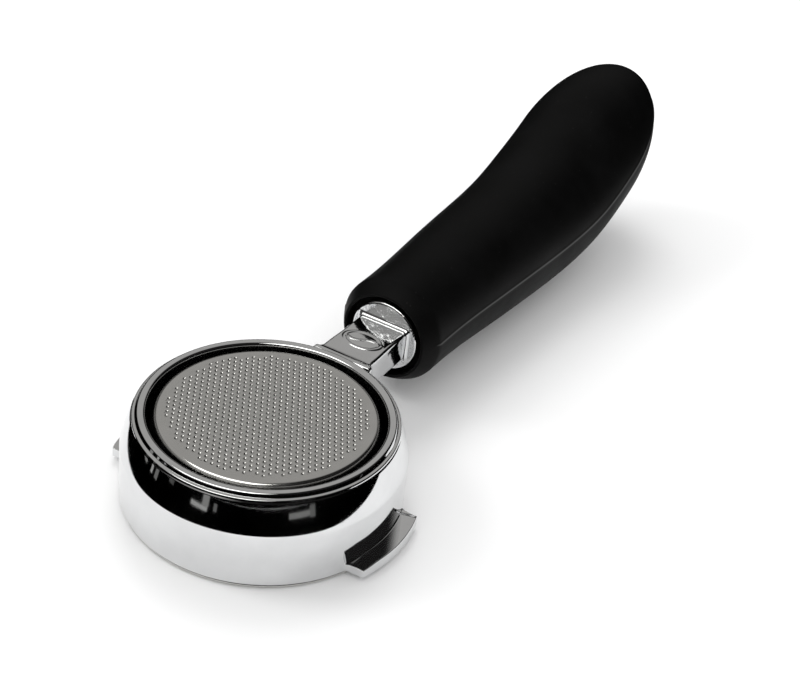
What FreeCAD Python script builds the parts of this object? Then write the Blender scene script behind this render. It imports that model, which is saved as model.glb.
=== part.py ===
import FreeCAD, Part
import math
import os

# Bottomless portafilter of an espresso machine, lying rim down.
# Millimetres. The ring's axis is Z, the table is z = 0 and the handle points along +Y.

os.makedirs("parts", exist_ok=True)
V = FreeCAD.Vector

# ---- driving sizes -------------------------------------------------------------------
basket_bore_d = 58.5        # inside of the basket's straight mouth
basket_sheet = 0.5          # basket sheet thickness
basket_height = 24.6        # rim face to perforated face
basket_rim_thick = 0.95     # rolled rim, top to bottom
basket_straight = 12.0      # length of the straight mouth
rim_inset = 0.4             # basket rim inside the ring's outer wall
floor_taper = 2.75          # how far the basket narrows from its mouth to its floor
floor_corner = 2.4          # outside corner radius of the floor
field_margin = 0.3          # flat floor's edge to the perforated field
hole_pitch = 1.72           # distance between neighbouring holes
hole_d = 0.36               # hole diameter
lattice_turn = 2.7          # degrees the hole rows are turned from X
basket_play = 0.45          # radial play between basket and ring
rim_gap = 0.05              # rim to ring end face

ring_wall = 4.85            # thickness of the ring's straight wall
lip_above_floor = 0.6       # ring's lip above the basket's floor
lip_overhang = 1.2          # how far the lip reaches in over the bore
lip_width = 2.0             # flat lip around the open mouth
shoulder_height = 10.2      # height of the leaning part of the wall, up to the lip
shoulder_lean = 2.75        # how far the wall leans in below the lip

lug_reach = 4.15            # how far a bayonet lug stands out from the wall
lug_half_angle = 18.5       # half the angle one lug covers
lug_height = 3.0            # thickness of a lug
lug_end_radius = 3.4        # hollow fillet at both ends of a lug
lug_lead = 1.2              # height of the lead-in at both ends

neck_length = 18.95         # ring wall to the flange
neck_width = 14.8           # bar between ring and handle
neck_height = 8.4
neck_edge = 1.0             # rounded long edges of the bar
neck_flare = 1.2            # how far the bar widens into the ring on each side
axis_below_lip = 6.2        # handle axis below the ring's lip
relief_height = 0.45        # raised bean on top of the bar

stud_d = 10.0               # threaded stud, drawn at its outside diameter
stud_length = 38.0
stud_depth = 12.0           # how far the stud goes into the boss
thread_play = 0.05          # radial play of a thread drawn plain
boss_wall = 3.0             # metal around the stud in the boss
boss_length = 13.5
flange_lip = 2.0            # flange beyond the boss
flange_thick = 2.5
washer_thick = 1.5
insert_wall = 3.5           # brass around the stud in the insert
insert_length = 26.0

flange_setback = 0.2        # flange behind the front of the handle
mouth_gap = 1.5             # open gap round the flange
mouth_lip = 0.8             # front face of the handle around the mouth
mouth_depth = 3.5
mouth_web = 1.2             # grip material behind the mouth
nose_length = 4.8           # length over which the front of the handle widens
lip_rounding = 0.6          # inside edge of the mouth
grip_skin = 3.0             # thickness of the outer grip
skin_play = 0.05            # between grip skin and core
throat_play = 0.6           # radial room round the boss

spring_wire_d = 1.4         # basket spring wire
spring_z = 7.0              # height of the spring's groove
spring_play = 0.2           # spring wire to basket
spring_gap_angle = 14.0     # opening of the spring ring, degrees

# Handle stations: distance behind its front, height of the centre above the handle axis,
# and grip radius. The tail rounds off after the last.
grip_stations = [
    (10.2, 0.0, 15.0),
    (23.2, 0.0, 15.5),
    (39.2, -0.1, 16.6),
    (58.2, -0.4, 17.7),
    (77.2, -0.2, 18.8),
    (96.2, 2.5, 20.0),
    (114.7, 9.2, 20.2),
]
tail_slope = 25.0           # degrees the tail points up
tail_length = 37.0          # last station to the tip
body_sections = 13          # sections that shape the surface before the tail
tail_sections = 7           # sections that shape the rounded tail

# ---- sizes that follow ---------------------------------------------------------------
basket_r = basket_bore_d / 2 + basket_sheet
ring_bottom = basket_rim_thick + rim_gap
ring_bore_r = basket_r + basket_play
ring_r = ring_bore_r + ring_wall
ring_height = basket_height + lip_above_floor
wall_straight_to = ring_height - shoulder_height
opening_r = ring_bore_r - lip_overhang
lip_r = opening_r + lip_width
axis_height = ring_height - axis_below_lip
flange_y = ring_r + neck_length
boss_r = stud_d / 2 + boss_wall
flange_r = boss_r + flange_lip
insert_r = stud_d / 2 + insert_wall
mouth_r = flange_r + mouth_gap
handle_front = flange_y - flange_setback
core_front = handle_front + mouth_depth + mouth_web
groove_r = basket_r + spring_play + spring_wire_d + 0.15
groove_half = spring_wire_d / 2 + 0.15
stations = [(handle_front + y, axis_height + z, radius) for y, z, radius in grip_stations]


# ---- helpers -------------------------------------------------------------------------
def save(name, shape):
    """Write one closed solid as a STEP file."""
    shape = shape.removeSplitter()
    if shape.ShapeType == "Compound" and len(shape.Solids) == 1:
        shape = shape.Solids[0]
    assert shape.isValid(), name
    assert len(shape.Solids) >= 1, name
    shape.exportStep("parts/" + name + ".step")
    print(name, "volume %.1f mm3" % shape.Volume, "solids", len(shape.Solids))


def polar(radius, degrees, z=0.0):
    """Point at a radius and an angle about the ring's axis."""
    a = math.radians(degrees)
    return V(radius * math.cos(a), radius * math.sin(a), z)


def line(a, b):
    return Part.LineSegment(a, b).toShape()


def arc(a, b, c):
    return Part.Arc(a, b, c).toShape()


def spin(edges):
    """Turn a closed profile in the XZ plane once around the ring's axis."""
    face = Part.Face(Part.Wire(edges))
    return face.revolve(V(0, 0, 0), V(0, 0, 1), 360)


def profile(points):
    """Edges of a closed profile. A point is (r, z), or (r, z, 'mid') to bend through it."""
    edges = []
    count = len(points)
    i = 0
    while i < count:
        start = points[i]
        follow = points[(i + 1) % count]
        if len(follow) == 3:
            end = points[(i + 2) % count]
            edges.append(arc(V(start[0], 0, start[1]), V(follow[0], 0, follow[1]), V(end[0], 0, end[1])))
            i += 2
        else:
            edges.append(line(V(start[0], 0, start[1]), V(follow[0], 0, follow[1])))
            i += 1
    return edges


def rod(radius, y_from, y_to, z):
    """Round bar along the handle's axis."""
    return Part.makeCylinder(radius, y_to - y_from, V(0, y_from, z), V(0, 1, 0))


# ---- ring, lugs, neck and flange: one casting ----------------------------------------

def make_ring():
    """Turned ring: straight wall, shoulder leaning in, a fine step and a rounded lip."""
    step_z = ring_height - 1.3
    shoulder_r = ring_r - shoulder_lean
    mid_z = wall_straight_to + 0.5 * (step_z - wall_straight_to)
    outline = [
        (ring_bore_r, ring_bottom),
        (ring_r - 0.4, ring_bottom),
        (ring_r, ring_bottom + 0.4),
        (ring_r, wall_straight_to),
        (ring_r - 0.45 * shoulder_lean, mid_z, "mid"),
        (shoulder_r, step_z),
        (lip_r + 0.5, step_z + 0.15),
        (lip_r + 0.45, ring_height - 0.7),
        (lip_r + 0.2, ring_height - 0.2, "mid"),
        (lip_r - 0.35, ring_height),
        (opening_r + 0.6, ring_height),
        (opening_r + 0.17, ring_height - 0.17, "mid"),
        (opening_r, ring_height - 0.6),
        (opening_r, ring_height - 2.6),
        (ring_bore_r, ring_height - 2.6 - (ring_bore_r - opening_r)),
        (ring_bore_r, spring_z + groove_half),
        (groove_r, spring_z + groove_half),
        (groove_r, spring_z - groove_half),
        (ring_bore_r, spring_z - groove_half),
    ]
    return spin(profile(outline))


def make_lug(centre):
    """Bayonet lug: a curved ledge whose ends run hollow into the wall, with lead-ins."""
    outer = ring_r + lug_reach
    inner = ring_r - 1.5
    flare = math.degrees(lug_end_radius / ring_r)
    a0 = centre - lug_half_angle
    a1 = centre + lug_half_angle
    wall = ring_r - 0.05
    bend = ring_r + 0.32 * (outer - ring_r)
    edges = [
        arc(polar(outer, a0), polar(outer, centre), polar(outer, a1)),
        arc(polar(outer, a1), polar(bend, a1 + 0.28 * flare), polar(wall, a1 + flare)),
        line(polar(wall, a1 + flare), polar(inner, a1 + flare)),
        arc(polar(inner, a1 + flare), polar(inner, centre), polar(inner, a0 - flare)),
        line(polar(inner, a0 - flare), polar(wall, a0 - flare)),
        arc(polar(wall, a0 - flare), polar(bend, a0 - 0.28 * flare), polar(outer, a0)),
    ]
    face = Part.Face(Part.Wire(edges))
    face.translate(V(0, 0, ring_bottom))
    lug = face.extrude(V(0, 0, lug_height))
    top = ring_bottom + lug_height
    for side in (-1, 1):
        # Sloping cut over the last few degrees of the ledge.
        wedge = Part.Face(Part.makePolygon([
            V(ring_r + 0.3, 0, top - lug_lead),
            V(ring_r + 0.3, 0, top + 2),
            V(ring_r + 0.3, -4.2, top + 2),
            V(ring_r + 0.3, -4.2, top),
            V(ring_r + 0.3, 0, top - lug_lead),
        ])).extrude(V(8, 0, 0))
        past = Part.makeBox(8, 4, lug_lead + 2, V(ring_r + 0.3, 0, top - lug_lead))
        cutter = wedge.fuse(past)
        if side < 0:
            cutter = cutter.mirror(V(0, 0, 0), V(0, 1, 0))
        cutter.rotate(V(0, 0, 0), V(0, 0, 1), centre + side * (lug_half_angle - 0.5))
        lug = lug.cut(cutter)
    return lug


def make_neck():
    """Rounded bar from the ring to the flange, with the boss behind it."""
    half = neck_width / 2
    flare = neck_flare
    y_root = ring_r - 2.2
    y_wall = math.sqrt(ring_r ** 2 - (half + flare) ** 2) + 0.1
    y_end = flange_y + 0.5
    edges = [line(V(-half - flare, y_root, 0), V(half + flare, y_root, 0))]
    for side in (1, -1):
        wide = V(side * (half + flare), y_wall, 0)
        bend = V(side * (half + 0.2 * flare), y_wall + 0.42 * flare, 0)
        slim = V(side * half, y_wall + 1.3 * flare, 0)
        edges.append(line(V(side * (half + flare), y_root, 0), wide))
        edges.append(arc(wide, bend, slim))
        edges.append(line(slim, V(side * half, y_end, 0)))
    edges.append(line(V(half, y_end, 0), V(-half, y_end, 0)))
    face = Part.Face(Part.Wire(Part.sortEdges(edges)[0]))
    face.translate(V(0, 0, axis_height - neck_height / 2))
    bar = face.extrude(V(0, 0, neck_height))
    sides = [e for e in bar.Edges if e.BoundBox.ZLength < 0.01 and e.BoundBox.YLength > 0.5
             and e.BoundBox.YMax > y_wall + 0.2]
    bar = bar.makeFillet(neck_edge, sides)
    flange = rod(flange_r, flange_y, flange_y + flange_thick, axis_height)
    rim = [e for e in flange.Edges if e.Closed]
    flange = flange.makeFillet(0.5, rim)
    boss = rod(boss_r, flange_y + flange_thick - 0.2, flange_y + flange_thick + boss_length, axis_height)
    neck = bar.fuse([flange, boss])
    tapped_from = flange_y + flange_thick + boss_length - stud_depth - 0.8
    hole = rod(stud_d / 2 + thread_play, tapped_from, flange_y + flange_thick + boss_length + 1, axis_height)
    return neck.cut(hole)


def make_relief():
    """Raised coffee bean on the bar: an oval pad parted by a wavy groove."""
    top = axis_height + neck_height / 2
    long_r = 5.2
    short_r = 3.6
    centre = V(0, ring_r + 8.4, top - 0.3)
    oval = Part.Ellipse(V(0, 0, 0), long_r, short_r).toShape()
    pad = Part.Face(Part.Wire([oval])).extrude(V(0, 0, 0.3 + relief_height))
    pad.translate(centre)
    points = [V(-long_r - 0.5, -0.5, 0), V(-2.4, 0.75, 0), V(0, 0, 0), V(2.4, -0.75, 0), V(long_r + 0.5, 0.5, 0)]
    sides = []
    for shift in (-0.4, 0.4):
        curve = Part.BSplineCurve()
        curve.interpolate([p + V(0, shift, 0) for p in points])
        sides.append(curve)
    lower = sides[0].toShape()
    upper = sides[1].toShape()
    left = line(lower.valueAt(lower.FirstParameter), upper.valueAt(upper.FirstParameter))
    right = line(lower.valueAt(lower.LastParameter), upper.valueAt(upper.LastParameter))
    groove = Part.Face(Part.Wire([lower, right, upper, left])).extrude(V(0, 0, 2))
    groove.translate(centre + V(0, 0, 0.35))
    return pad.cut(groove)


ring = make_ring()
solid_ring = ring.fuse([make_lug(0), make_lug(180)])
keep_out = Part.makeCylinder(ring_r - 1.2, ring_height + 2, V(0, 0, -1), V(0, 0, 1))
neck = make_neck().cut(keep_out)
holder = solid_ring.fuse([neck, make_relief()])
save("filter_holder", holder)


# ---- basket --------------------------------------------------------------------------
def make_basket():
    """Drawn cup with a rolled rim, a tapered lower wall and a perforated floor."""
    r_in = basket_bore_d / 2
    r_out = basket_r
    floor_r = r_out - floor_taper
    top = basket_height
    s = basket_sheet
    k = floor_corner * (1 - math.sqrt(0.5))
    flat_r = floor_r - floor_corner
    field_r = flat_r - field_margin
    rim_r = ring_r - rim_inset
    rt = basket_rim_thick
    outline = [
        (r_in, 0.3),
        (r_in + 0.3, 0.0),
        (rim_r - 0.35, 0.0),
        (rim_r, rt / 2, "mid"),
        (rim_r - 0.35, rt),
        (r_out, rt),
        (r_out, basket_straight),
        (floor_r, top - floor_corner),
        (floor_r - k, top - k, "mid"),
        (flat_r, top),
        (flat_r, top - s),
        (floor_r - s - (k - 0.15), top - s - (k - 0.15), "mid"),
        (floor_r - s, top - floor_corner),
        (r_in, basket_straight),
    ]
    wall = spin(profile(outline))
    rows = int(2 * field_r / hole_pitch) + 2
    holes = []
    for i in range(-rows, rows + 1):
        for j in range(-rows, rows + 1):
            x = hole_pitch * (i + 0.5 * j)
            y = hole_pitch * math.sqrt(0.75) * j
            if math.hypot(x, y) <= field_r - hole_d / 2:
                p = V(x, y, top)
                p = FreeCAD.Rotation(V(0, 0, 1), lattice_turn).multVec(p)
                holes.append(Part.Wire([Part.makeCircle(hole_d / 2, p)]))
    print("holes", len(holes))
    edge = Part.Wire([Part.makeCircle(flat_r + 0.02, V(0, 0, top))])
    plate = Part.Face([edge] + holes)
    plate.validate()
    plate = plate.extrude(V(0, 0, -s))
    return wall.fuse(plate)


save("filter_basket", make_basket())


# ---- basket spring -------------------------------------------------------------------
spring_r = basket_r + spring_play + spring_wire_d / 2
wire_face = Part.Face(Part.Wire([Part.makeCircle(spring_wire_d / 2, V(spring_r, 0, spring_z), V(0, 1, 0))]))
spring = wire_face.revolve(V(0, 0, 0), V(0, 0, 1), 360 - spring_gap_angle)
spring.rotate(V(0, 0, 0), V(0, 0, 1), -90 + spring_gap_angle / 2)
save("basket_spring", spring)


# ---- handle --------------------------------------------------------------------------
def handle_sections(inset, front, nose):
    """Centre, radius and slope of every section, from the front plane to the tip."""
    guide = Part.BSplineCurve()
    rows = [(front + nose, axis_height, stations[0][2])] + stations
    knots = [V(radius, y, z) for y, z, radius in rows]
    slope = math.radians(tail_slope)
    guide.interpolate(Points=knots, InitialTangent=V(0, 1, 0), FinalTangent=V(0, math.cos(slope), math.sin(slope)))
    first = guide.FirstParameter
    span = guide.LastParameter - first
    found = []
    narrow = stations[0][2] - mouth_r - mouth_lip
    for i in range(5 if nose > 0 else 0):
        t = i / 5
        size = stations[0][2] - inset - narrow * (1 - t) ** 1.25
        found.append((V(0, front + nose * t, axis_height), size, 0.0))
    for i in range(body_sections):
        u = first + span * i / (body_sections - 1)
        p = guide.value(u)
        t = guide.tangent(u)[0]
        found.append((V(0, p.y, p.z), p.x - inset, math.atan2(t.z, t.y)))
    y, z, radius = stations[-1]
    reach = tail_length - inset
    for i in range(1, tail_sections + 1):
        a = 0.5 * math.pi * i / tail_sections
        ahead = reach * math.sin(a)
        centre = V(0, y + ahead * math.cos(slope), z + ahead * math.sin(slope))
        found.append((centre, (radius - inset) * math.cos(a), slope))
    return found


def handle_body(inset, front, nose):
    """Smooth closed solid through round sections, smaller by an inset all round."""
    rows = handle_sections(inset, front, nose)
    lengths = [0.0]
    for (c0, r0, s0), (c1, r1, s1) in zip(rows, rows[1:]):
        lengths.append(lengths[-1] + math.hypot((c1 - c0).Length, r1 - r0))
    corner = math.sqrt(0.5)
    grid = []
    for k in range(9):
        # Eight-cornered frame of a circle, starting at the underside.
        turn = math.radians(45 * k - 90)
        reach = 1.0 if k % 2 == 0 else 1 / corner
        track = []
        for centre, radius, slope in rows:
            across = V(math.cos(turn) * reach * radius, 0, 0)
            up = math.sin(turn) * reach * radius
            track.append(centre + across + V(0, -math.sin(slope) * up, math.cos(slope) * up))
        curve = Part.BSplineCurve()
        curve.interpolate(Points=track, Parameters=lengths)
        grid.append(curve)
    poles = [list(column) for column in zip(*[c.getPoles() for c in grid])]
    weights = [[1.0 if k % 2 == 0 else corner for k in range(9)] for row in poles]
    skin = Part.BSplineSurface()
    skin.buildFromPolesMultsKnots(poles, grid[0].getMultiplicities(), [3, 2, 2, 2, 3],
                                  grid[0].getKnots(), [0, 0.25, 0.5, 0.75, 1],
                                  False, False, grid[0].Degree, 2, weights)
    side = skin.toShape()
    ends = [e for e in side.Edges if e.Length > 1 and e.Closed]
    front_edge = min(ends, key=lambda e: e.BoundBox.YMax)
    shell = Part.makeShell([side, Part.Face(Part.Wire([front_edge]))])
    shell.sewShape()
    solid = Part.makeSolid(shell)
    if solid.Volume < 0:
        solid.reverse()
    return solid


def make_mouth():
    """Cutter for the recess at the front of the handle, with a rounded lip."""
    r = mouth_r
    q = lip_rounding
    bend = q * (1 - math.sqrt(0.5))
    front = handle_front
    back = handle_front + mouth_depth
    edges = [
        line(V(0, front - 1, 0), V(r + q, front - 1, 0)),
        line(V(r + q, front - 1, 0), V(r + q, front, 0)),
        arc(V(r + q, front, 0), V(r + bend, front + bend, 0), V(r, front + q, 0)),
        line(V(r, front + q, 0), V(r, back, 0)),
        line(V(r, back, 0), V(0, back, 0)),
        line(V(0, back, 0), V(0, front - 1, 0)),
    ]
    cutter = Part.Face(Part.Wire(edges)).revolve(V(0, 0, 0), V(0, 1, 0), 360)
    cutter.translate(V(0, 0, axis_height))
    return cutter


seat_y = flange_y + flange_thick + boss_length + washer_thick
insert_y = seat_y + 0.3

outer = handle_body(0, handle_front, nose_length)
cavity = handle_body(grip_skin, core_front, 0)
throat = rod(boss_r + throat_play, handle_front, core_front + 1, axis_height)
grip = outer.cut(cavity.fuse([make_mouth(), throat]))
save("handle_grip", grip)

core = handle_body(grip_skin + skin_play, core_front + skin_play, 0)
core = core.cut(rod(boss_r + throat_play, core_front - 1, insert_y, axis_height))
core = core.cut(rod(insert_r + skin_play, insert_y - 0.1, insert_y + insert_length + skin_play, axis_height))
core = core.cut(rod(stud_d / 2 + 0.8, insert_y + insert_length - 1, insert_y + insert_length + 9, axis_height))
save("handle_core", core)

insert = rod(insert_r, insert_y, insert_y + insert_length, axis_height)
for groove_y in (0.3, 0.62):
    y0 = insert_y + groove_y * insert_length
    collar = rod(insert_r + 1, y0, y0 + 2.0, axis_height)
    insert = insert.cut(collar.cut(rod(insert_r - 1.0, y0, y0 + 2.0, axis_height)))
insert = insert.cut(rod(stud_d / 2 + thread_play, insert_y - 1, insert_y + insert_length + 1, axis_height))
save("handle_insert", insert)

stud_y = flange_y + flange_thick + boss_length - stud_depth
stud = rod(stud_d / 2, stud_y, stud_y + stud_length, axis_height)
stud = stud.makeChamfer(0.8, [e for e in stud.Edges if e.Closed])
save("handle_stud", stud)

washer = rod(insert_r - 0.3, seat_y - washer_thick + 0.1, seat_y - 0.1, axis_height)
washer = washer.cut(rod(stud_d / 2 + 0.4, seat_y - 5, seat_y + 5, axis_height))
slit = Part.makeBox(1.0, 10, 12, V(-0.5, seat_y - 5, axis_height))
washer = washer.cut(slit)
save("lock_washer", washer)

box = grip.optimalBoundingBox()
print("grip box y %.2f..%.2f z %.2f..%.2f x %.2f" % (box.YMin, box.YMax, box.ZMin, box.ZMax, box.XMax))
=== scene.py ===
import math

import bmesh
import bpy
import numpy as np
from mathutils import Matrix, Vector


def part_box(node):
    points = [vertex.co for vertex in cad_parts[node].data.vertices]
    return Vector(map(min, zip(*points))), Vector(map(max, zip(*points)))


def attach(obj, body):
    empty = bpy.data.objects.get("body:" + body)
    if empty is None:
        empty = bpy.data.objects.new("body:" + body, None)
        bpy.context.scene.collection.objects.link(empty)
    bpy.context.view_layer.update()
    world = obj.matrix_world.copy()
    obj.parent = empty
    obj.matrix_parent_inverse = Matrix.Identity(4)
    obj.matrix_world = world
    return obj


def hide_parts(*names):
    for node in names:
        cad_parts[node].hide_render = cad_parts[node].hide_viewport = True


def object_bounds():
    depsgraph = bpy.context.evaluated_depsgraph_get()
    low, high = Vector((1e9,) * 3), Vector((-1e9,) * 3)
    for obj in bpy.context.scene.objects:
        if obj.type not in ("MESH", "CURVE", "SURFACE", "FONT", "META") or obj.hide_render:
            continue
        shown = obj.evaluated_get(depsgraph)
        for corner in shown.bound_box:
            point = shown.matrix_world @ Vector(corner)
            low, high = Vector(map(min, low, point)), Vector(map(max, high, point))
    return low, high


# Bottomless portafilter, standing rim down. Metres, Z up, handle along +Y.
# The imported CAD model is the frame; the shapes that show are worked out here.

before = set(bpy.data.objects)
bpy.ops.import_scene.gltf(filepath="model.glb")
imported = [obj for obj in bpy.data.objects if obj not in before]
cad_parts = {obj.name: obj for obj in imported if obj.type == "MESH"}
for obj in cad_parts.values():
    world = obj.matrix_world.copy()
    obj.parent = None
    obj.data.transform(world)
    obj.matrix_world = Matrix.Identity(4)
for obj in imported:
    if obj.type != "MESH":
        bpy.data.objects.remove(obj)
cad_box = [list(corner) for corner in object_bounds()]
MM = 0.001


# ---- camera ------------------------------------------------------------------
def aim_camera(target, azimuth, elevation, distance, roll, lens):
    """Camera on a sphere around the target, looking at it, turned by roll about its view line."""
    az = math.radians(azimuth)
    el = math.radians(elevation)
    back = Vector((math.sin(az) * math.cos(el), -math.cos(az) * math.cos(el), math.sin(el)))
    right = Vector((math.cos(az), math.sin(az), 0.0))
    up = back.cross(right)
    turn = math.radians(roll)
    right_r = right * math.cos(turn) + up * math.sin(turn)
    up_r = back.cross(right_r)
    basis = Matrix((right_r, up_r, back)).transposed().to_4x4()
    data = bpy.data.cameras.new("camera")
    data.lens = lens
    data.sensor_width = 36.0
    data.clip_start = 0.01
    data.clip_end = 50.0
    camera = bpy.data.objects.new("camera", data)
    camera.matrix_world = Matrix.Translation(Vector(target) + back * distance) @ basis
    bpy.context.scene.collection.objects.link(camera)
    bpy.context.scene.camera = camera


aim_camera(
    target=(0.0173, 0.0310, 0.0346),
    azimuth=27.3,
    elevation=33.7,
    distance=0.400,
    roll=6.95,
    lens=73.1,
)


# ---- sizes read from the frame -------------------------------------------------
hold_lo, hold_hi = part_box("filter_holder")
cup_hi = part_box("filter_basket")[1]
grip_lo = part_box("handle_grip")[0]
LUG_R = hold_hi.x                       # outside of the lugs
RING_R = -hold_lo.y                     # outside of the ring
RING_BASE = hold_lo.z
RING_TOP = RING_BASE + 24.2 * MM        # the flange stands higher, so the box can't say
CUP_TOP = cup_hi.z
CUP_RIM_R = cup_hi.x
GRIP_FRONT = grip_lo.y
AXIS_Z = 19.0 * MM                      # height of the handle's straight axis


# ---- mesh helpers ---------------------------------------------------------------
def mesh_object(name, points, faces, body, material, marks=None):
    """Mesh from arrays of points and faces: welded, smooth, faces outward, riding on a body.
    Marks are kept as the attribute "Marked", one value for each point."""
    mesh = bpy.data.meshes.new(name)
    mesh.from_pydata(np.asarray(points, float).tolist(), [], [list(f) for f in faces])
    if marks is not None:
        layer = mesh.attributes.new("Marked", "FLOAT", "POINT")
        layer.data.foreach_set("value", np.asarray(marks, np.float32))
    bm = bmesh.new()
    bm.from_mesh(mesh)
    bmesh.ops.remove_doubles(bm, verts=bm.verts, dist=2e-7)
    bmesh.ops.dissolve_degenerate(bm, dist=1e-8, edges=bm.edges)
    bmesh.ops.recalc_face_normals(bm, faces=bm.faces)
    bm.to_mesh(mesh)
    bm.free()
    mesh.shade_smooth()
    obj = bpy.data.objects.new(name, mesh)
    bpy.context.scene.collection.objects.link(obj)
    obj.data.materials.append(material)
    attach(obj, body)
    return obj


def grid_faces(nu, nv, wrap_u=False, wrap_v=False):
    """Quads of an nu by nv grid of points, closed round either way if asked."""
    iu = np.arange(nu if wrap_u else nu - 1)
    iv = np.arange(nv if wrap_v else nv - 1)
    u, v = np.meshgrid(iu, iv, indexing="ij")
    u2 = (u + 1) % nu
    v2 = (v + 1) % nv
    return np.stack([u * nv + v, u2 * nv + v, u2 * nv + v2, u * nv + v2], -1).reshape(-1, 4)


def rounded_path(corners, steps=5, support=0.06 * MM, spread=1.4 * MM, closed=True):
    """Path through corners (a, b, radius). Each corner becomes an arc of its radius.
    Straights get points close to both ends, and more between, so that they stay flat."""
    pts = np.array([c[:2] for c in corners], float)
    rad = np.array([c[2] for c in corners], float)
    n = len(pts)
    out = []
    ends = []
    for i in range(n):
        p = pts[i]
        if not closed and i in (0, n - 1):
            ends.append((p, p, [p]))
            continue
        a = pts[i - 1] - p
        b = pts[(i + 1) % n] - p
        la, lb = np.hypot(*a), np.hypot(*b)
        a, b = a / la, b / lb
        half = 0.5 * math.acos(max(-1.0, min(1.0, float(a @ b))))
        cut = min(rad[i] / max(math.tan(half), 1e-6), 0.45 * la, 0.45 * lb)
        if rad[i] <= 0 or half > 1.56:
            ends.append((p, p, [p]))
            continue
        r = cut * math.tan(half)
        bis = (a + b) / np.hypot(*(a + b))
        centre = p + bis * r / math.sin(half)
        s, e = p + a * cut, p + b * cut
        t0 = math.atan2(*(s - centre)[::-1])
        t1 = math.atan2(*(e - centre)[::-1])
        dt = (t1 - t0 + math.pi) % (2 * math.pi) - math.pi
        t = t0 + dt * np.linspace(0, 1, steps + 1)
        ends.append((s, e, list(centre + r * np.stack([np.cos(t), np.sin(t)], -1))))
    for i in range(n):
        out += ends[i][2]
        if not closed and i == n - 1:
            break
        s, e = ends[i][1], ends[(i + 1) % n][0]
        length = np.hypot(*(e - s))
        if length > 3 * support:
            inner = max(int(length / spread), 0)
            near = support / length
            t = np.concatenate([[near], (np.arange(inner) + 1) / (inner + 1), [1 - near]])
            out += list(s + (e - s) * t[:, None])
    return np.array(out)


def spin(path, angles):
    """Points of a path of (radius, height) carried round the Z axis."""
    c, s = np.cos(angles)[:, None], np.sin(angles)[:, None]
    r, z = path[None, :, 0], path[None, :, 1]
    return np.stack([r * c, r * s, z + 0 * c], -1)


def even_turn(count):
    """Angles spaced evenly over a full turn."""
    return np.linspace(0, 2 * math.pi, count, endpoint=False)


def along_handle(path, angles):
    """Points of a path of (y, radius) carried round the handle's straight axis."""
    c, s = np.cos(angles)[:, None], np.sin(angles)[:, None]
    y, r = path[None, :, 0], path[None, :, 1]
    return np.stack([r * c, y + 0 * c, AXIS_Z + r * s], -1)


def smooth(t):
    """Soft step from 0 to 1 as t goes from 0 to 1."""
    t = np.clip(t, 0, 1)
    return t * t * (3 - 2 * t)


# ---- materials -------------------------------------------------------------------
def group_sockets(tree, items):
    """Sockets of a node group from (name, first value or None, way) rows."""
    for name, value, way in items:
        socket = tree.interface.new_socket(name=name, in_out=way, socket_type="NodeSocketFloat")
        if value is not None:
            socket.default_value = value


def principled(name):
    """New material with its nodes, its links and its main shader."""
    mat = bpy.data.materials.new(name)
    mat.use_nodes = True
    return mat, mat.node_tree.nodes, mat.node_tree.links, mat.node_tree.nodes["Principled BSDF"]


def place(nodes, tree, **values):
    """A node group with its inputs set; an underscore stands for a space."""
    g = nodes.new("ShaderNodeGroup")
    g.node_tree = tree
    for key, value in values.items():
        g.inputs[key.replace("_", " ")].default_value = value
    return g


def connect(links, value, socket):
    """Links a socket, or sets a plain value."""
    if isinstance(value, bpy.types.NodeSocket):
        links.new(value, socket)
    else:
        socket.default_value = value


def calc(nodes, links, operation, *values):
    """Math on sockets and numbers."""
    m = nodes.new("ShaderNodeMath")
    m.operation = operation
    for value, socket in zip(values, m.inputs):
        connect(links, value, socket)
    return m.outputs[0]


def vector_calc(nodes, links, operation, first, second=None):
    """Vector math on a socket and, where there is one, a second value or socket."""
    m = nodes.new("ShaderNodeVectorMath")
    m.operation = operation
    links.new(first, m.inputs[0])
    if second is not None:
        connect(links, second, m.inputs["Scale" if operation == "SCALE" else 1])
    return m.outputs["Value" if operation == "LENGTH" else "Vector"]


def object_place(nodes):
    """Object coordinates, in metres, which every pattern on the pieces reads."""
    return nodes.new("ShaderNodeTexCoord").outputs["Object"]


def stretched(nodes, links, vector, scale, turn=(0.0, 0.0, 0.0)):
    """Coordinates turned and scaled, so that a pattern on them is drawn out one way."""
    m = nodes.new("ShaderNodeMapping")
    m.inputs["Rotation"].default_value = turn
    m.inputs["Scale"].default_value = scale
    links.new(vector, m.inputs["Vector"])
    return m.outputs[0]


def noise(nodes, links, vector, scale, detail=2.0, roughness=0.5):
    """Noise from 0 to 1 at the given coordinates."""
    t = nodes.new("ShaderNodeTexNoise")
    t.inputs["Scale"].default_value = scale
    t.inputs["Detail"].default_value = detail
    t.inputs["Roughness"].default_value = roughness
    links.new(vector, t.inputs["Vector"])
    return t.outputs["Fac"]


def spread(nodes, links, source, low, high, start=0.0, end=1.0, soft=False):
    """A value between low and high as the source goes from start to end."""
    r = nodes.new("ShaderNodeMapRange")
    if soft:
        r.interpolation_type = "SMOOTHSTEP"
    r.inputs["From Min"].default_value = start
    r.inputs["From Max"].default_value = end
    r.inputs["To Min"].default_value = low
    r.inputs["To Max"].default_value = high
    links.new(source, r.inputs["Value"])
    return r.outputs[0]


def tint(nodes, links, source, first, second):
    """A colour between two, by the source; the first may come from another node."""
    m = nodes.new("ShaderNodeMix")
    m.data_type = "RGBA"
    connect(links, first if isinstance(first, bpy.types.NodeSocket) else (*first, 1), m.inputs["A"])
    m.inputs["B"].default_value = (*second, 1)
    links.new(source, m.inputs["Factor"])
    return m.outputs["Result"]


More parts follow.
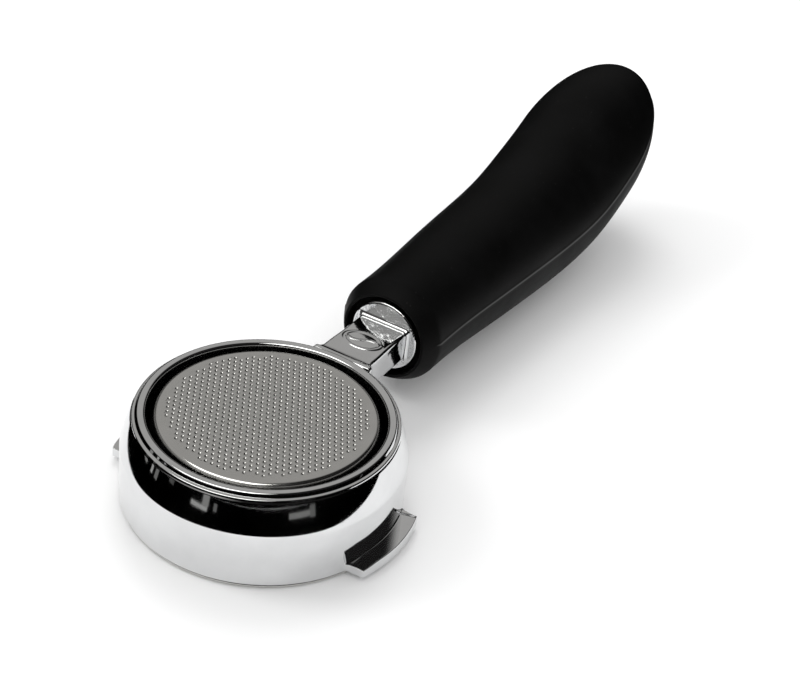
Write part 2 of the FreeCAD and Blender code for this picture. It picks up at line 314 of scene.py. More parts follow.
def bump(nodes, links, height, bsdf, distance, strength=1.0, below=None):
    """Bump on the main shader, over another bump where one is given."""
    b = nodes.new("ShaderNodeBump")
    b.inputs["Distance"].default_value = distance
    b.inputs["Strength"].default_value = strength
    links.new(height, b.inputs["Height"])
    if below is not None:
        links.new(below, b.inputs["Normal"])
    links.new(b.outputs[0], bsdf.inputs["Normal"])
    return b.outputs[0]


def wear_group():
    """Fine hairlines, soft smudges and dust specks, worked out from object coordinates.
    Scratch is thin stretched noise in two directions, Smudge is broad cloudy noise,
    Speck is the middle of scattered cells, and Height is a mix of the first two for a bump."""
    tree = bpy.data.node_groups.new("surface_wear", "ShaderNodeTree")
    group_sockets(tree, [
        ("Scale", 1.0, "INPUT"),
        ("Scratch Amount", 0.5, "INPUT"),
        ("Smudge Amount", 0.5, "INPUT"),
        ("Scratch", None, "OUTPUT"),
        ("Smudge", None, "OUTPUT"),
        ("Speck", None, "OUTPUT"),
        ("Height", None, "OUTPUT"),
    ])
    n, l = tree.nodes, tree.links
    gi, go = n.new("NodeGroupInput"), n.new("NodeGroupOutput")
    sized = vector_calc(n, l, "SCALE", object_place(n), gi.outputs["Scale"])

    def lines(turn, across):
        """Hairlines that run one way: the peaks of a noise drawn out along them."""
        thin = noise(n, l, stretched(n, l, sized, across, turn), 1.0, 3.0)
        return spread(n, l, thin, 0.0, 1.0, 0.66, 0.72)

    both = calc(n, l, "MAXIMUM", lines((0.3, 0.2, 0.5), (60, 3200, 3200)),
                lines((1.1, -0.4, 2.0), (3000, 80, 3000)))
    scratch = calc(n, l, "MULTIPLY", both, gi.outputs["Scratch Amount"])
    cloud = spread(n, l, noise(n, l, sized, 70.0, 6.0, 0.62), 0.0, 1.0, 0.38, 0.72)
    smudge = calc(n, l, "MULTIPLY", cloud, gi.outputs["Smudge Amount"])
    cells = n.new("ShaderNodeTexVoronoi")
    cells.inputs["Scale"].default_value = 420.0
    l.new(sized, cells.inputs["Vector"])
    l.new(scratch, go.inputs["Scratch"])
    l.new(smudge, go.inputs["Smudge"])
    l.new(spread(n, l, cells.outputs["Distance"], 0.0, 1.0, 0.09, 0.05), go.inputs["Speck"])
    cut = calc(n, l, "MULTIPLY", scratch, -1.0)
    l.new(calc(n, l, "MULTIPLY_ADD", smudge, 0.15, cut), go.inputs["Height"])
    return tree


def turned_group():
    """Fine concentric rings about the Z axis, as left by spinning and polishing.
    The distance from the axis plus the height drives a fast noise, and a slow noise breaks
    it up."""
    tree = bpy.data.node_groups.new("turned_rings", "ShaderNodeTree")
    group_sockets(tree, [
        ("Density", 5000.0, "INPUT"),
        ("Rings", None, "OUTPUT"),
        ("Radius", None, "OUTPUT"),
    ])
    n, l = tree.nodes, tree.links
    gi, go = n.new("NodeGroupInput"), n.new("NodeGroupOutput")
    here = object_place(n)
    away = vector_calc(n, l, "LENGTH", vector_calc(n, l, "MULTIPLY", here, (1, 1, 0)))
    sep = n.new("ShaderNodeSeparateXYZ")
    l.new(here, sep.inputs[0])
    run = calc(n, l, "ADD", away, sep.outputs["Z"])
    fine = n.new("ShaderNodeTexNoise")
    fine.noise_dimensions = "1D"
    fine.inputs["Scale"].default_value = 1.0
    fine.inputs["Detail"].default_value = 4.0
    l.new(calc(n, l, "MULTIPLY", run, gi.outputs["Density"]), fine.inputs["W"])
    slow = noise(n, l, here, 240.0)
    l.new(calc(n, l, "MULTIPLY", fine.outputs["Fac"], slow), go.inputs["Rings"])
    l.new(away, go.inputs["Radius"])
    return tree


WEAR = wear_group()
TURNED = turned_group()


def chrome_material(name, rough=0.035, worn=0.5, cast=0.0):
    """Bright chrome plate: hairlines and finger smudges, and orange-peel where cast."""
    mat, n, l, p = principled(name)
    p.inputs["Metallic"].default_value = 1.0
    w = place(n, WEAR, Scale=1.0, Scratch_Amount=worn, Smudge_Amount=1.0)
    smudge = w.outputs["Smudge"]
    l.new(tint(n, l, smudge, (0.74, 0.745, 0.75), (0.67, 0.675, 0.68)), p.inputs["Base Color"])
    l.new(spread(n, l, smudge, rough, rough + 0.05), p.inputs["Roughness"])
    first = bump(n, l, w.outputs["Height"], p, 0.000004, 0.35)
    if cast > 0:
        bump(n, l, noise(n, l, object_place(n), 420.0, 4.0), p, cast, 1.0, below=first)
    return mat


def basket_material():
    """Drawn stainless: satin floor with fine rings, polished where the floor turns down."""
    mat, n, l, p = principled("basket_stainless")
    p.inputs["Metallic"].default_value = 1.0
    t = place(n, TURNED, Density=9000.0)
    w = place(n, WEAR, Scale=1.3, Scratch_Amount=0.7, Smudge_Amount=0.8)
    polish = spread(n, l, t.outputs["Radius"], 0.0, 1.0, 0.0245, 0.0249)
    satin = spread(n, l, w.outputs["Smudge"], 0.26, 0.36)
    l.new(calc(n, l, "MULTIPLY_ADD", polish, -0.15, satin), p.inputs["Roughness"])
    rings = t.outputs["Rings"]
    l.new(tint(n, l, rings, (0.56, 0.555, 0.54), (0.72, 0.715, 0.70)), p.inputs["Base Color"])
    low = bump(n, l, calc(n, l, "MULTIPLY", rings, 0.25), p, 0.000006, 0.6)
    bump(n, l, w.outputs["Height"], p, 0.000004, 0.4, below=low)
    return mat


def grip_material():
    """Satin black moulding: fine spark-eroded grain, faint rubs and finger marks, a few specks,
    and a painted highlight: grey colour along the marked parting line, in place of the table's
    reflection on the ridge."""
    mat, n, l, p = principled("grip_black")
    w = place(n, WEAR, Scale=0.8, Scratch_Amount=0.35, Smudge_Amount=1.0)
    smudge = w.outputs["Smudge"]
    rubbed = tint(n, l, smudge, (0.0018, 0.0018, 0.0018), (0.0036, 0.0036, 0.0037))
    dusty = tint(n, l, spread(n, l, w.outputs["Speck"], 0.0, 0.25), rubbed, (0.03, 0.03, 0.03))
    line = n.new("ShaderNodeAttribute")
    line.attribute_name = "Marked"
    # Painted highlight: the parting-line ridge is coloured grey to stand in for the table mirrored
    # on the flank.
    edge = spread(n, l, line.outputs["Fac"], 0.0, 0.8, 0.25, 0.9)
    l.new(tint(n, l, edge, dusty, (0.11, 0.11, 0.108)), p.inputs["Base Color"])
    p.inputs["Specular IOR Level"].default_value = 0.08
    l.new(spread(n, l, smudge, 0.50, 0.60), p.inputs["Roughness"])
    low = bump(n, l, noise(n, l, object_place(n), 3600.0), p, 0.00002, 0.5)
    bump(n, l, w.outputs["Height"], p, 0.000008, 0.5, below=low)
    return mat


def metal_material(name, light, dark, rough):
    """Turned or drawn metal with fine tool marks and tarnish."""
    mat, n, l, p = principled(name)
    p.inputs["Metallic"].default_value = 1.0
    w = place(n, WEAR, Scale=1.6, Scratch_Amount=0.6, Smudge_Amount=1.0)
    tool = noise(n, l, stretched(n, l, object_place(n), (0.1, 1.0, 0.1)), 2600.0)
    l.new(tint(n, l, w.outputs["Smudge"], light, dark), p.inputs["Base Color"])
    l.new(spread(n, l, tool, rough, rough + 0.2, 0.3, 0.7), p.inputs["Roughness"])
    bump(n, l, tool, p, 0.00001, 0.5)
    return mat


def core_material():
    """Glass-filled nylon: dull, with pale fibre flecks near the surface."""
    mat, n, l, p = principled("core_nylon")
    w = place(n, WEAR, Scale=1.0, Scratch_Amount=1.0, Smudge_Amount=1.0)
    flecks = w.outputs["Scratch"]
    l.new(tint(n, l, flecks, (0.03, 0.03, 0.032), (0.16, 0.16, 0.16)), p.inputs["Base Color"])
    l.new(spread(n, l, w.outputs["Smudge"], 0.55, 0.7), p.inputs["Roughness"])
    bump(n, l, w.outputs["Height"], p, 0.00003, 0.5)
    return mat


CHROME = chrome_material("chrome_bright")
CHROME_CAST = chrome_material("chrome_cast", rough=0.05, worn=0.6, cast=0.00004)
CHROME_ROUGH = chrome_material("chrome_as_cast", rough=0.09, worn=0.8, cast=0.00016)
STEEL = basket_material()
GRIP = grip_material()
SPRING = metal_material("spring_wire", (0.62, 0.61, 0.6), (0.42, 0.42, 0.41), 0.2)
BRASS = metal_material("insert_brass", (0.78, 0.58, 0.28), (0.55, 0.38, 0.16), 0.22)
ZINC = metal_material("stud_zinc", (0.66, 0.67, 0.7), (0.5, 0.5, 0.52), 0.3)
CORE = core_material()


# ---- ring with its two lugs -------------------------------------------------------
RING_BORE = 30.15 * MM
OPENING_R = 29.0 * MM
LIP_R = 31.0 * MM
GROOVE_R = 31.5 * MM                    # bottom of the spring's groove
GROOVE_LOW, GROOVE_HIGH = 6.15 * MM, 7.85 * MM
SHOULDER_LEAN = 2.75 * MM               # how far the wall leans in over the shoulder
LUG_LOW = RING_BASE + 0.02 * MM
LUG_HIGH = RING_BASE + 3.0 * MM


def lug_reach(angle):
    """How far the ledge stands out at an angle: full over each lug, then hollow into the wall."""
    off = np.abs((np.degrees(angle) + 90) % 180 - 90)
    t = np.clip((off - 18.3) / 5.7, 0, 1)
    return (1 - t) ** 3.4


def lug_drop(angle):
    """How far the ledge's top falls: a long lead-in at one end and a short one at the other."""
    off = (np.degrees(angle) + 90) % 180 - 90
    long_end = smooth((-off - 11.5) / 1.2) * np.clip((-off - 11.5) / 7.0, 0, 1) * 0.75 * MM
    short_end = np.clip((off - 16.6) / 2.0, 0, 1) * 0.5 * MM
    return long_end + short_end


def make_ring():
    """Closed profile carried round the axis. Where there is a lug, the points between the
    ledge's foot and its top move out by the lug's reach; elsewhere they lie on the wall."""
    t = np.linspace(0, 1, 34)
    shoulder_r = RING_R - SHOULDER_LEAN
    shoulder_z = RING_TOP - 1.3 * MM
    wall_z = RING_TOP - 10.2 * MM
    edge = 0.5 * MM                     # rounding of the ring's lowest outer edge
    rise = 0.75 * t + 0.25 * t * t
    start = 0.035                       # short hollow where the lean begins
    lean = np.stack([
        RING_R - SHOULDER_LEAN * (rise + start * np.exp(-t / start) - start),
        wall_z + (shoulder_z - wall_z) * t,
    ], -1)[:-2]
    top = rounded_path([
        (shoulder_r + 0.12 * MM, shoulder_z - 0.4 * MM, 0.0),
        (shoulder_r, shoulder_z + 0.12 * MM, 0.34 * MM),
        (LIP_R + 0.55 * MM, shoulder_z + 0.26 * MM, 0.15 * MM),
        (LIP_R + 0.45 * MM, RING_TOP - 0.85 * MM, 0.15 * MM),
        (LIP_R + 0.05 * MM, RING_TOP, 0.75 * MM),
        (OPENING_R, RING_TOP, 0.95 * MM),
        (OPENING_R, RING_TOP - 2.6 * MM, 0.3 * MM),
        (RING_BORE, RING_TOP - 3.8 * MM, 0.3 * MM),
        (RING_BORE, GROOVE_HIGH, 0.1 * MM),
        (GROOVE_R, GROOVE_HIGH, 0.2 * MM),
        (GROOVE_R, GROOVE_LOW, 0.2 * MM),
        (RING_BORE, GROOVE_LOW, 0.1 * MM),
        (RING_BORE, RING_BASE, 0.3 * MM),
        (RING_R - edge, RING_BASE, 0.1 * MM),
    ], steps=6, closed=False)
    heights = np.linspace(LUG_HIGH + 0.6 * MM, wall_z, 10)[:-1]
    straight = np.stack([np.full(9, RING_R), heights], -1)
    fixed = np.concatenate([straight, lean, top])
    # The ledge: foot, underside, outer face and top, with rounded edges and a fillet at the wall.
    low, high = LUG_LOW, LUG_HIGH
    ledge = rounded_path([
        (RING_R - edge, low, 0.0),
        (LUG_R, low, 0.25 * MM),
        (LUG_R, high, 0.22 * MM),
        (RING_R, high, 0.45 * MM),
        (RING_R, high + 0.6 * MM, 0.0),
    ], steps=6, spread=0.8 * MM, closed=False)
    # The same points where there is no lug: round the edge, then straight up the wall.
    s = np.linspace(0, 1, len(ledge))
    quarter = 0.5 * math.pi * np.minimum(s / 0.12, 1.0)
    up_wall = (high + 0.1 * MM - low) * np.clip((s - 0.12) / 0.88, 0, 1)
    plain = np.stack([
        RING_R - edge + edge * np.sin(quarter),
        low + edge * (1 - np.cos(quarter)) + up_wall,
    ], -1)
    # Angles: close together where a lug ends.
    ends = []
    for centre in (0, 180):
        near_end = np.concatenate([np.linspace(16.2, 18.2, 9), np.linspace(18.3, 24.2, 22)])
        ends += [centre - near_end, centre + near_end]
        ends.append(centre + np.linspace(-15.5, 15.5, 36))
    ends.append(np.linspace(25.0, 155.0, 132))
    ends.append(np.linspace(205.0, 335.0, 132))
    degrees = np.sort(np.concatenate(ends) % 360)
    angles = np.radians(degrees)
    f = lug_reach(angles)[:, None]
    drop = lug_drop(angles)[:, None]
    height = np.clip((ledge[:, 1] - low) / (high - low), 0, 1) ** 3
    outside = ledge[None, :, 0] > RING_R + 0.05 * MM
    lz = ledge[None, :, 1] - drop * height[None, :] * outside
    r = plain[None, :, 0] * (1 - f) + ledge[None, :, 0] * f
    z = plain[None, :, 1] * (1 - smooth(f * 3)) + lz * smooth(f * 3)
    c, si = np.cos(angles)[:, None], np.sin(angles)[:, None]
    moving = np.stack([r * c, r * si, z], -1)[:, :-1]
    still = spin(fixed, angles)
    points = np.concatenate([moving, still], 1)
    nu, nv = points.shape[:2]
    return mesh_object("ring_body", points.reshape(-1, 3), grid_faces(nu, nv, True, True),
                       "holder", CHROME)


ring_body = make_ring()
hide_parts("filter_holder")


# ---- bar between ring and handle ---------------------------------------------------
NECK_HALF = 7.4 * MM                    # half the bar's width
NECK_RISE = 4.2 * MM                    # half its height
FLANGE_Y = 54.0 * MM
BEAN_AT = (0.0, 43.0 * MM)
BEAN_HALF = (5.2 * MM, 3.5 * MM)


def bean_height(x, y):
    """Raised coffee bean lying across the bar: a low oval cushion, with a raised outline and
    a raised wavy line along its middle."""
    u = (x - BEAN_AT[0]) / BEAN_HALF[0]
    v = (y - BEAN_AT[1]) / BEAN_HALF[1]
    d = np.sqrt(u * u + v * v)
    cushion = smooth((1.0 - d) / 0.25) * 0.10
    outline = np.exp(-np.abs((d - 1.0) / 0.115) ** 3)
    wave = v - 0.30 * np.sin(u * 3.0)
    middle = np.exp(-np.abs(wave / 0.13) ** 3) * smooth((0.98 - d) / 0.2)
    return (cushion + 0.36 * np.maximum(outline, middle)) * MM


def make_neck():
    """Rounded oblong carried along +Y. It widens in a hollow curve into the ring and into the
    flange, and its top carries the raised bean."""
    y = np.concatenate([
        np.linspace(32.6, 36.5, 16, endpoint=False),
        np.linspace(36.5, 50.5, 104, endpoint=False),
        np.linspace(50.5, 52.6, 8, endpoint=False),
        52.6 + 1.45 * np.sin(np.linspace(0, 0.5 * math.pi, 16)),
    ]) * MM
    flare = np.clip((36.4 * MM - y) / (2.4 * MM), 0, 1)
    root = 1.3 * MM * (1 - np.sqrt(np.clip(1 - flare ** 2.2, 0, 1)))
    t = np.clip((y - 52.6 * MM) / (1.4 * MM), 0, 1)
    toe = 1.25 * MM * (1 - np.sqrt(np.clip(1 - t ** 2, 0, 1)))
    half = NECK_HALF - 0.25 * MM * smooth((y - 38 * MM) / (8 * MM)) + root + toe
    rise = NECK_RISE + 0.25 * root + toe
    corner = 0.85 * MM
    # Unit oblong: the four sides with rounded corners, more points across the top.
    q = np.linspace(0, 0.5 * math.pi, 7)
    tops = np.linspace(1, -1, 96)[1:-1]
    sides = np.linspace(-1, 1, 12)[1:-1]
    parts = []
    parts.append(("c", 1, 1, q))
    parts.append(("t", tops, 1, None))
    parts.append(("c", -1, 1, q + 0.5 * math.pi))
    parts.append(("s", -1, -sides, None))
    parts.append(("c", -1, -1, q + math.pi))
    parts.append(("t", -np.linspace(1, -1, 14)[1:-1], -1, None))
    parts.append(("c", 1, -1, q + 1.5 * math.pi))
    parts.append(("s", 1, sides, None))
    cols_x, cols_z = [], []
    for kind, a, b, ang in parts:
        if kind == "c":
            cols_x.append(a * (half[:, None] - corner) + corner * np.cos(ang)[None])
            cols_z.append(b * (rise[:, None] - corner) + corner * np.sin(ang)[None])
        elif kind == "t":
            cols_x.append((half[:, None] - corner) * a[None])
            cols_z.append(b * rise[:, None] + 0 * a[None])
        else:
            cols_x.append(a * half[:, None] + 0 * b[None])
            cols_z.append((rise[:, None] - corner) * b[None])
    x = np.concatenate(cols_x, 1)
    z = np.concatenate(cols_z, 1)
    yy = y[:, None] + 0 * x
    on_top = z > (rise[:, None] - 0.02 * MM)
    z = z + np.where(on_top, bean_height(x, yy), 0)
    points = np.stack([x, yy, AXIS_Z + z], -1)
    nu, nv = points.shape[:2]
    faces = grid_faces(nu, nv, False, True).tolist()
    faces.append(list(range(nv)))
    faces.append(list(range((nu - 1) * nv, nu * nv)))
    return mesh_object("neck_bar", points.reshape(-1, 3), faces,
                       "holder", CHROME_CAST)


def make_flange():
    """Round plate with rounded edges and the boss behind it, turned round the handle's axis."""
    plate_back, bore_floor, boss_end = 56.5 * MM, 57.5 * MM, 70.0 * MM
    plate_r, boss_r, bore_r, centre = 10.0 * MM, 8.0 * MM, 5.05 * MM, 0.05 * MM
    path = rounded_path([
        (FLANGE_Y, centre, 0.0),
        (FLANGE_Y, plate_r, 0.7 * MM),
        (plate_back, plate_r, 0.5 * MM),
        (plate_back, boss_r, 0.5 * MM),
        (boss_end, boss_r, 0.6 * MM),
        (boss_end, bore_r, 0.3 * MM),
        (bore_floor, bore_r, 0.2 * MM),
        (bore_floor, centre, 0.0),
    ], closed=True)
    points = along_handle(path, even_turn(128))
    nu, nv = points.shape[:2]
    return mesh_object("neck_flange", points.reshape(-1, 3), grid_faces(nu, nv, True, True),
                       "holder", CHROME_ROUGH)


make_neck()
make_flange()


# ---- basket ------------------------------------------------------------------------
FLOOR_R = 24.6 * MM
SHEET = 0.5 * MM
HOLE_PITCH = 1.72 * MM
FIELD_R = 24.1 * MM
HOLE_R = 0.18 * MM
LATTICE_TURN = 2.7                      # degrees between a row of holes and the X axis


def make_cup():
    """Turned shell: floor edge, corner, tapered and straight wall, rolled rim, and back inside."""
    corner_r, bore_r, straight_to, rim = 27.0 * MM, 29.25 * MM, 12.0 * MM, 0.95 * MM
    path = rounded_path([
        (FLOOR_R, CUP_TOP, 0.0),
        (corner_r, CUP_TOP, 2.9 * MM),
        (bore_r + SHEET, straight_to, 6.0 * MM),
        (bore_r + SHEET, rim, 0.25 * MM),
        (CUP_RIM_R, rim, 0.42 * MM),
        (CUP_RIM_R, 0.0, 0.42 * MM),
        (bore_r, 0.0, 0.35 * MM),
        (bore_r, straight_to, 6.0 * MM),
        (corner_r - SHEET, CUP_TOP - SHEET, 2.2 * MM),
        (FLOOR_R, CUP_TOP - SHEET, 0.0),
    ], steps=10, closed=False)
    points = spin(path, even_turn(288))
    nu, nv = points.shape[:2]
    return mesh_object("basket_cup", points.reshape(-1, 3), grid_faces(nu, nv, True, False),
                       "basket", STEEL)


def make_floor():
    """Six-sided tiles that fill the round floor. In each tile of the hole field a small punched
    dimple leads into the hole: it falls from the flat face to the hole's rim, and a wall goes
    on down through the sheet. Tiles that cross the edge are pulled in to the circle."""
    rows = 17
    i, j = np.meshgrid(np.arange(-rows, rows + 1), np.arange(-rows, rows + 1), indexing="ij")
    x = HOLE_PITCH * (i + 0.5 * j).ravel()
    y = HOLE_PITCH * math.sqrt(0.75) * j.ravel()
    turn = math.radians(LATTICE_TURN)
    x, y = x * math.cos(turn) - y * math.sin(turn), x * math.sin(turn) + y * math.cos(turn)
    away = np.hypot(x, y)
    keep = away < FLOOR_R + 0.75 * MM
    x, y, away = x[keep], y[keep], away[keep]
    holed = away <= FIELD_R
    k = np.arange(12)
    around = 2 * math.pi * k / 12 + turn + math.pi / 6
    edge = HOLE_PITCH / math.sqrt(3) * np.where(k % 2 == 0, 1.0, math.cos(math.pi / 6))
    rings = [
        (edge, 0.0),
        (0.46 * MM, 0.0),
        (0.40 * MM, -0.03 * MM),
        (0.33 * MM, -0.12 * MM),
        (0.25 * MM, -0.20 * MM),
        (HOLE_R, -0.25 * MM),
        (HOLE_R, -SHEET),
        (edge, -SHEET),
    ]
    cells = []
    for radius, rise in rings:
        r = radius + 0 * around
        level = CUP_TOP + rise + 0 * around
        cells.append(np.stack([r * np.cos(around), r * np.sin(around), level], -1))
    cell = np.stack(cells)
    faces_ring = grid_faces(len(rings), 12, False, True)
    centres = np.stack([x, y, 0 * x], -1)
    hot = centres[holed][:, None, None, :] + cell[None]
    flat = centres[~holed][:, None, None, :] + cell[None][:, [0, 7]]
    points = np.concatenate([hot.reshape(-1, 3), flat.reshape(-1, 3)])
    size = len(rings) * 12
    count = int(holed.sum())
    faces = (faces_ring[None] + size * np.arange(count)[:, None, None]).reshape(-1, 4).tolist()
    base = count * size
    for c in range(int((~holed).sum())):
        start = base + 24 * c
        faces.append(list(range(start, start + 12)))
        faces.append(list(range(start + 23, start + 11, -1)))
    far = np.hypot(points[:, 0], points[:, 1])
    pull = np.minimum(1.0, FLOOR_R / np.maximum(far, 1e-9))
    points[:, 0] *= pull
    points[:, 1] *= pull
    return mesh_object("basket_floor", points, faces, "basket", STEEL)


basket_cup = make_cup()
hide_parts("filter_basket")
make_floor()


# ---- handle ------------------------------------------------------------------------
# Each station: distance along the handle, height of its centre line, radius.
STATIONS = np.array([
    (58.6, 19.0, 15.0),
    (64.0, 19.0, 15.0),
    (77.0, 19.0, 15.5),
    (93.0, 18.9, 16.6),
    (112.0, 18.6, 17.7),
    (131.0, 18.8, 18.8),
    (150.0, 21.5, 20.0),
    (168.5, 28.2, 20.2),
]) * MM
TAIL_SLOPE = math.radians(25.0)
TAIL_LENGTH = 37.0 * MM
NOSE_LENGTH = 4.8 * MM
MOUTH_R = 11.5 * MM
MOUTH_DEPTH = 3.5 * MM
LIP_FACE_R = 12.3 * MM
SEAM_HEIGHT = 0.24 * MM
SEAM_SINE = 0.09                        # the mould halves met a little above the flank's middle


def natural_curve(knots, start, end, samples):
    """Cubic through the stations, spaced by distance, leaving and arriving along given slopes."""
    gaps = np.hypot(np.diff(knots[:, 0]), np.diff(knots[:, 1]))
    u = np.concatenate([[0], np.cumsum(gaps)])
    n = len(u)
    a = np.zeros((n, n))
    b = np.zeros((n, 3))
    h = np.diff(u)
    for k in range(1, n - 1):
        a[k, k - 1], a[k, k], a[k, k + 1] = h[k], 2 * (h[k - 1] + h[k]), h[k - 1]
        before = h[k] * (knots[k] - knots[k - 1]) / h[k - 1]
        after = h[k - 1] * (knots[k + 1] - knots[k]) / h[k]
        b[k] = 3 * (before + after)
    a[0, 0] = a[-1, -1] = 1
    b[0], b[-1] = start, end
    m = np.linalg.solve(a, b)
    s = np.linspace(0, u[-1], samples)
    k = np.clip(np.searchsorted(u, s, side="right") - 1, 0, n - 2)
    t = ((s - u[k]) / h[k])[:, None]
    hk = h[k][:, None]
    p = ((1 + 2 * t) * (1 - t) ** 2 * knots[k] + t * (1 - t) ** 2 * hk * m[k]
         + t * t * (3 - 2 * t) * knots[k + 1] + t * t * (t - 1) * hk * m[k + 1])
    return p


def make_grip():
    """Round sections square to a bent centre line. The path starts at the back of the front
    recess, comes out over the lip and the rounded front edge, runs along the handle and closes
    at the tip of the tail. A fine ridge runs along both flanks where the mould halves met."""
    t = np.linspace(0.08, 1.0, 18)
    widen = np.stack([
        GRIP_FRONT + NOSE_LENGTH * t,
        STATIONS[0, 2] - (STATIONS[0, 2] - LIP_FACE_R) * (1 - t) ** 1.25,
    ], -1)
    mouth = rounded_path([
        (GRIP_FRONT + MOUTH_DEPTH, 8.6 * MM, 0.0),
        (GRIP_FRONT + MOUTH_DEPTH, MOUTH_R, 0.4 * MM),
        (GRIP_FRONT, MOUTH_R, 0.45 * MM),
        (GRIP_FRONT, LIP_FACE_R, 0.28 * MM),
        tuple(widen[0]) + (0.0,),
    ], steps=8, spread=0.8 * MM, closed=False)
    nose = np.concatenate([mouth, widen[1:-1]])
    nose = np.stack([nose[:, 0], np.full(len(nose), AXIS_Z), nose[:, 1]], -1)
    tail_way = np.array([math.cos(TAIL_SLOPE), math.sin(TAIL_SLOPE), 0.0])
    body = natural_curve(STATIONS, np.array([1.0, 0.0, 0.0]), tail_way, 170)[1:]
    q = np.linspace(0, 0.5 * math.pi, 46)[1:]
    last = STATIONS[-1]
    tail = np.stack([
        last[0] + TAIL_LENGTH * np.sin(q) * math.cos(TAIL_SLOPE),
        last[1] + TAIL_LENGTH * np.sin(q) * math.sin(TAIL_SLOPE),
        last[2] * np.cos(q),
    ], -1)
    rows = np.concatenate([nose, body, tail])
    slope = np.zeros(len(rows))
    nb = len(nose)
    step = np.gradient(rows[nb:nb + len(body)], axis=0)
    slope[nb:nb + len(body)] = np.arctan2(step[:, 1], step[:, 0])
    slope[nb + len(body):] = TAIL_SLOPE
    around = even_turn(192)
    # Closer together at both flanks, where the ridge is.
    around = around - 0.045 * np.sin(2 * (around - SEAM_SINE * np.sign(np.cos(around))))
    seam = np.exp(-((np.sin(around) - SEAM_SINE) / 0.020) ** 2)
    start, end = 56.0 * MM, 203.0 * MM
    faded = smooth((rows[:, 0] - start) / (3.0 * MM)) * smooth((end - rows[:, 0]) / (8.0 * MM))
    faded[:len(mouth)] = 0
    seam = seam[None] * faded[:, None]
    r = rows[:, 2][:, None] + SEAM_HEIGHT * seam
    up = r * np.sin(around)[None]
    x = r * np.cos(around)[None]
    y = rows[:, 0][:, None] - np.sin(slope)[:, None] * up
    z = rows[:, 1][:, None] + np.cos(slope)[:, None] * up
    points = np.stack([x, y, z], -1)
    nu, nv = points.shape[:2]
    # The ridge's mask is kept as marks; the grip's material paints a grey highlight along it.
    return mesh_object("grip_shell", points.reshape(-1, 3), grid_faces(nu, nv, False, True),
                       "holder", GRIP, marks=seam.ravel())


grip_shell = make_grip()
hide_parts("handle_grip")


# ---- hidden pieces keep their CAD shape ------------------------------------------------
for node, material in (
    ("basket_spring", SPRING),
    ("handle_core", CORE),
    ("handle_insert", BRASS),
    ("handle_stud", ZINC),
    ("lock_washer", SPRING),
):
    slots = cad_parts[node].data.materials
    slots.clear()
    slots.append(material)


# ---- floor, lights and what the chrome mirrors ------------------------------------------
def flat_material(name, shade, gloss=0.1):
    """Plain matt surface."""
    mat, _, _, p = principled(name)
    p.inputs["Base Color"].default_value = (shade, shade, shade, 1)
    p.inputs["Roughness"].default_value = 0.9
    p.inputs["Specular IOR Level"].default_value = gloss
    return mat


def stage_object(name, points, faces, material, mirrored_only):
    """Plain object of the stage, which may be one that only mirror-like surfaces see."""
    mesh = bpy.data.meshes.new(name)
    mesh.from_pydata([tuple(p) for p in points], [], [tuple(f) for f in faces])
    mesh.materials.append(material)
    obj = bpy.data.objects.new(name, mesh)
    bpy.context.scene.collection.objects.link(obj)
    if mirrored_only:
        obj.visible_camera = False
        obj.visible_diffuse = False
        obj.visible_shadow = False
        obj.visible_transmission = False
    return obj


def make_floor_and_room():
    """White table, and a dark room that shows only in mirror-like surfaces: a flat ring just
    above the table from beyond the object outwards, so that chrome has a crisp horizon."""
    low = min(cad_box[0][2], 0.0) - 0.05 * MM
    size = 3.0
    corners = [(-size, -size, low), (size, -size, low), (size, size, low), (-size, size, low)]
    stage_object("table", corners, [(0, 1, 2, 3)], flat_material("table_white", 0.90), False)

    turn = even_turn(96)

    def oval(x, y, half_x, half_y):
        """Points (x + half_x cos t, y + half_y sin t) for t round a full turn, over the table."""
        return np.stack([x + half_x * np.cos(turn), y + half_y * np.sin(turn),
                         0 * turn + low + 0.2 * MM], -1)

    near_edge = oval(0.012, 0.085, 0.100, 0.168)
    far_edge = oval(0.0, 0.085, 2.9, 2.9)
    rings = np.concatenate([near_edge, far_edge])
    stage_object("dark_room", rings, grid_faces(2, 96, False, True).tolist(),
                 flat_material("room_dark", 0.0, gloss=0.0), True)


def glow(name, points, level):
    """Four-cornered plain glow that only mirror-like surfaces see, as a window or a soft box."""
    mat, _, _, p = principled(name + "_glow")
    p.inputs["Base Color"].default_value = (0, 0, 0, 1)
    p.inputs["Emission Color"].default_value = (level, level, level * 0.97, 1)
    p.inputs["Emission Strength"].default_value = 1.0
    stage_object(name, points, [(0, 1, 2, 3)], mat, True)


def upright_glow(name, azimuth, distance, low, high, wide, level):
    """Upright card standing round the object."""
    az = math.radians(azimuth)
    middle = Vector((math.sin(az) * distance, -math.cos(az) * distance, 0.0))
    along = Vector((math.cos(az), math.sin(az), 0.0)) * wide * 0.5
    corners = ((-1, low), (1, low), (1, high), (-1, high))
    glow(name, [middle + side * along + Vector((0, 0, z)) for side, z in corners], level)


def soft_light(name, place_at, look_at, size, power):
    """Square area light for matt surfaces; mirror-like ones don't see it."""
    data = bpy.data.lights.new(name, "AREA")
    data.shape = "RECTANGLE"
    data.size = data.size_y = size
    data.energy = power
    light = bpy.data.objects.new(name, data)
    light.location = place_at
    aim = Vector(look_at) - Vector(place_at)
    light.rotation_euler = aim.to_track_quat("-Z", "Y").to_euler()
    light.visible_glossy = False
    bpy.context.scene.collection.objects.link(light)


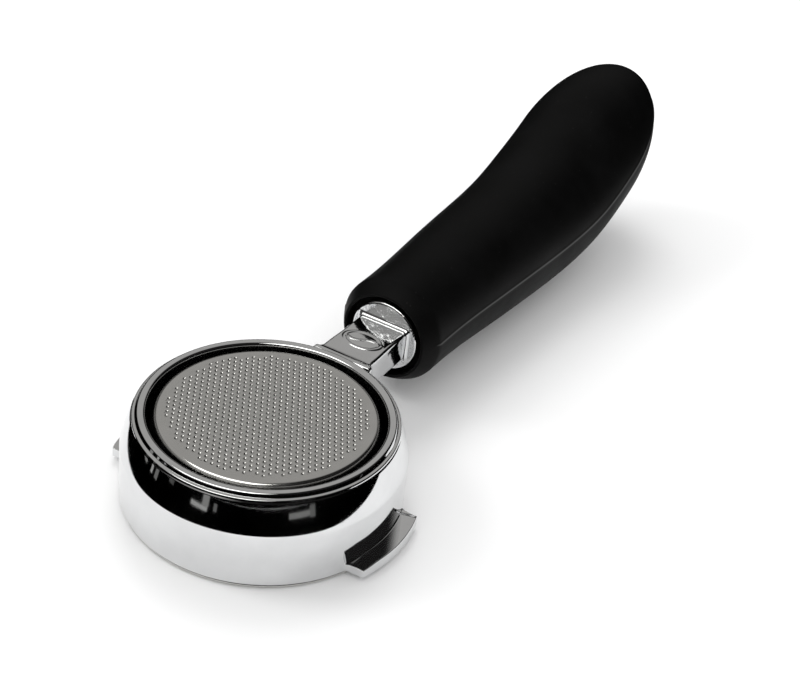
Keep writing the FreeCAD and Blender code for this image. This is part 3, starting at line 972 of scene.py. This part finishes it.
def make_world(ambient, sky_low, sky_high):
    """Even soft light for matt surfaces. Mirror-like ones see a dark room whose walls
    turn to mid grey with height, on the side of the window."""
    world = bpy.data.worlds.new("studio")
    world.use_nodes = True
    n, l = world.node_tree.nodes, world.node_tree.links
    even = n["Background"]
    even.inputs["Color"].default_value = (1.0, 1.0, 1.0, 1)
    even.inputs["Strength"].default_value = ambient
    sep = n.new("ShaderNodeSeparateXYZ")
    l.new(n.new("ShaderNodeTexCoord").outputs["Generated"], sep.inputs[0])
    height = spread(n, l, sep.outputs["Z"], sky_low, sky_high, 0.22, 0.50, soft=True)
    side = spread(n, l, sep.outputs["X"], 0.03, 1.0, 0.30, -0.10, soft=True)
    room = n.new("ShaderNodeBackground")
    room.inputs["Color"].default_value = (1.0, 0.985, 0.96, 1)
    l.new(calc(n, l, "MULTIPLY", height, side), room.inputs["Strength"])
    mix = n.new("ShaderNodeMixShader")
    l.new(n.new("ShaderNodeLightPath").outputs["Is Glossy Ray"], mix.inputs[0])
    l.new(even.outputs[0], mix.inputs[1])
    l.new(room.outputs[0], mix.inputs[2])
    l.new(mix.outputs[0], n["World Output"].inputs["Surface"])
    bpy.context.scene.world = world


make_floor_and_room()
make_world(0.97, 0.0, 0.43)
soft_light("key", (-0.42, 0.62, 1.00), (0.0, 0.03, 0.0), 0.5, 3.4)
soft_light("side", (-0.85, -0.30, 0.80), (0.0, 0.03, 0.0), 0.4, 3.4)
BOX_LEFT, BOX_RIGHT, BOX_FRONT, BOX_BACK, BOX_Z = -0.95, 0.50, -1.15, -0.42, 1.15
glow("soft_box", [(BOX_LEFT, BOX_FRONT, BOX_Z), (BOX_RIGHT, BOX_FRONT, BOX_Z),
                  (BOX_RIGHT, BOX_BACK, BOX_Z), (BOX_LEFT, BOX_BACK, BOX_Z)], 3.2)
# Azimuth, distance, lowest and highest point, width and level of each small window.
for number, window in enumerate((
    (-56, 0.118, 0.001, 0.030, 0.007, 0.22),
    (-48, 0.118, 0.001, 0.030, 0.004, 0.38),
    (-43, 0.118, 0.001, 0.012, 0.006, 0.16),
    (-31, 0.140, 0.008, 0.026, 0.010, 0.07),
    (-8, 0.145, 0.004, 0.009, 0.030, 0.40),
    (-4, 0.150, 0.009, 0.024, 0.012, 0.24),
    (3, 0.150, 0.007, 0.016, 0.006, 0.12),
    (58, 0.132, 0.010, 0.016, 0.034, 0.20),
    (66, 0.132, 0.008, 0.020, 0.008, 0.12),
)):
    upright_glow("window_%d" % number, *window)
bpy.context.scene.view_settings.view_transform = "Standard"
